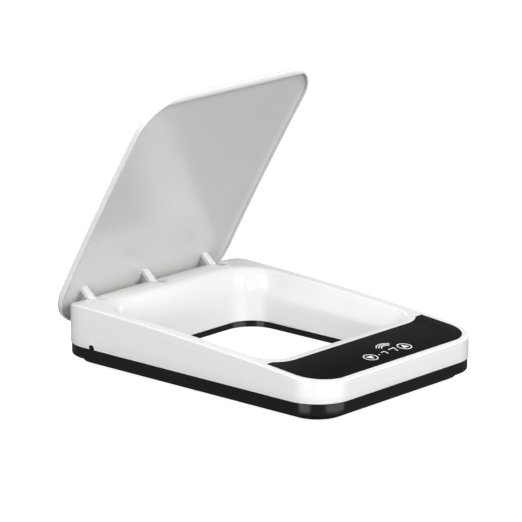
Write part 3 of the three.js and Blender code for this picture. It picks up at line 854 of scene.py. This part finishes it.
# The last three numbers of a plastic are its color drift, grain and specular level.
white = moulded("gloss_white_plastic", (0.8, 0.794, 0.782), 0.235, 0.01, 0.02)
lid_white = moulded("lid_white_plastic", (0.8, 0.794, 0.782), 0.24, 0.01, 0.02)
# painted shade: the liner is the same white plastic as the casing, with its colour set darker for
# the shade under the lid
liner_shaded_white = moulded("liner_white_painted_shade", (0.7, 0.695, 0.684), 0.2, 0.012, 0.02, 1.0)
black = moulded("satin_black_plastic", (0.0075, 0.0075, 0.0077), 0.18, 0.15, 0.05, 0.5, edge_highlight_share=0.01)
gloss_black = moulded("panel_black", (0.0045, 0.0046, 0.0048), 0.16, 0.1, 0.01, 0.06, edge_highlight_share=0.0)
print_white = moulded("printed_symbols", (0.85, 0.86, 0.87), 0.5, 0.03, 0.03, 0.3, edge_highlight_share=0.0)
rubber = moulded("pad_rubber", (0.03, 0.03, 0.031), 0.85, 0.2, 0.25, 0.25, fine=900.0)
chip = moulded("chip_black", (0.02, 0.02, 0.022), 0.5, 0.15, 0.12, 0.4)
foam = moulded("contact_foam", (0.16, 0.16, 0.165), 0.9, 0.25, 0.6, 0.2, fine=900.0)
clear = moulded("light_guide_plastic", (0.75, 0.78, 0.8), 0.15, 0.02, 0.02, 0.5)
wrap = moulded("cell_wrap", (0.06, 0.2, 0.42), 0.3, 0.06, 0.03, 0.5)
natural = moulded("natural_gear_plastic", (0.7, 0.67, 0.58), 0.4, 0.04, 0.05, 0.4)
red_lead = moulded("red_lead_sleeve", (0.4, 0.02, 0.015), 0.45, 0.08, 0.05, 0.4)
grey_lead = moulded("grey_lead_sleeve", (0.2, 0.2, 0.21), 0.45, 0.08, 0.05, 0.4)
steel = machined("drawn_steel", (0.55, 0.56, 0.58), 0.3)
brass = machined("turned_brass", (0.7, 0.52, 0.25), 0.3, (220, 4, 4))
board = circuit_board("circuit_board")


def dress(obj, material):
    obj.data.materials.clear()
    obj.data.materials.append(material)


def place(obj, body, material, nodes=()):
    dress(obj, material)
    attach(obj, body)
    if nodes:
        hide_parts(*nodes)


place(casing, "tray", white, ["top_casing"])
place(pocket_rim, "tray", white)
place(socket_shade_insert, "tray", black)
place(panel, "tray", gloss_black, ["touch_panel"])
place(symbols, "tray", print_white)
place(base, "tray", black, ["base_tray"])
place(lid_cover, "lid", lid_white, ["lid_cover"])
place(lid_liner, "lid", liner_shaded_white, ["lid_liner"])
for side, arm in arms.items():
    place(arm, "lid", white, [f"hinge_arm_{side}"])

SLOT_MATERIAL = {
    "casing_white": white, "liner_white": liner_shaded_white, "base_black": black,
    "panel_gloss_black": gloss_black, "pad_rubber": rubber, "board_green": board,
    "chip_black": chip, "foam_grey": foam, "clear_plastic": clear, "cell_wrap": wrap,
    "steel": steel, "brass": brass, "natural_plastic": natural,
    "lead_red": red_lead, "lead_grey": grey_lead,
}
for entry in frame["record"]["subparts"]:
    dress(frame["nodes"][entry["node"]], SLOT_MATERIAL[entry["material_slot"]])


# ---------------------------------------------------------------- light and floor
FLOOR_HALF = 400  # m, so that the floor has no visible side edges
FLOOR_DROP = 0.0002  # m, keeps the floor clear of the faces of the foot pads
LIGHT_AIM = Vector((0, 0, 0.06))

# name, azimuth and elevation in degrees, distance, width and height in m, power in W
LIGHTS = (
    ("front_light", 0, 30, 2.6, 1.2, 1.2, 45.6),
    ("left_light", -90, 30, 2.6, 1.2, 1.2, 35.2),
    ("camera_side_light", -50, 12, 2.6, 1.2, 0.8, 13.3),
    ("low_left_light", -83, -12, 2.6, 1.4, 0.8, 7.1),
    ("low_front_light", 3, -12, 2.6, 2.6, 0.8, 10.8),
    ("top_light", 0, 88, 2.2, 2.0, 2.0, 12.8),
    ("rear_light", 170, 24, 2.6, 1.6, 1.0, 26.0),
    ("right_light", 100, 20, 2.6, 1.2, 1.0, 14.0),
)

# Brightness of the surroundings from straight down to straight up, over the band of directions
# within BAND of level. The part round the horizon is as pale as the floor and takes its place
# where a low view runs past the end of it.
GROUND = 0.1374
SKY = 0.1942
BAND = 0.15
HORIZON = ((0.0, GROUND), (0.37, GROUND), (0.39, 1.0), (0.6, 1.0), (0.64, SKY), (1.0, SKY))


def build_floor():
    """Pale, slightly self-lit floor that casts no shadow and isn't mirrored in the object."""
    corners = [(x * FLOOR_HALF, y * FLOOR_HALF, 0) for x, y in ((-1, -1), (1, -1), (1, 1), (-1, 1))]
    mesh = bpy.data.meshes.new("floor")
    mesh.from_pydata(corners, [], [(0, 1, 2, 3)])
    obj = bpy.data.objects.new("floor", mesh)
    scene.collection.objects.link(obj)
    obj.location.z = -FLOOR_DROP
    material, _, _, shader = node_material("pale_floor")
    shader.inputs["Base Color"].default_value = (0.6, 0.6, 0.6, 1)
    shader.inputs["Roughness"].default_value = 0.9
    shader.inputs["Specular IOR Level"].default_value = 0.0
    shader.inputs["Emission Color"].default_value = (1, 1, 1, 1)
    shader.inputs["Emission Strength"].default_value = 0.85
    mesh.materials.append(material)
    obj.visible_diffuse = False
    obj.visible_glossy = False
    obj.visible_shadow = False
    return obj


def softbox(name, azimuth, elevation, distance, width, height, power):
    """Rectangular soft light standing in the given direction and facing the object."""
    outward = towards(math.radians(azimuth), math.radians(elevation))
    light = bpy.data.lights.new(name, "AREA")
    light.shape = "RECTANGLE"
    light.size = width
    light.size_y = height
    light.energy = power
    obj = bpy.data.objects.new(name, light)
    scene.collection.objects.link(obj)
    obj.location = LIGHT_AIM + outward * distance
    look_back(obj, outward)


def build_world():
    world = bpy.data.worlds.new("studio")
    world.use_nodes = True
    scene.world = world
    nodes, links = world.node_tree.nodes, world.node_tree.links
    direction = nodes.new("ShaderNodeTexCoord").outputs["Generated"]
    split = nodes.new("ShaderNodeSeparateXYZ")
    links.new(direction, split.inputs["Vector"])
    rise_share = map_range(nodes, links, split.outputs["Z"], 0.0, 1.0, -BAND, BAND)
    stops = [(position, (level,) * 3) for position, level in HORIZON]
    links.new(ramp(nodes, links, rise_share, stops), nodes["Background"].inputs["Color"])
    nodes["Background"].inputs["Strength"].default_value = 1.0


floor = build_floor()
for light_row in LIGHTS:
    softbox(*light_row)
build_world()
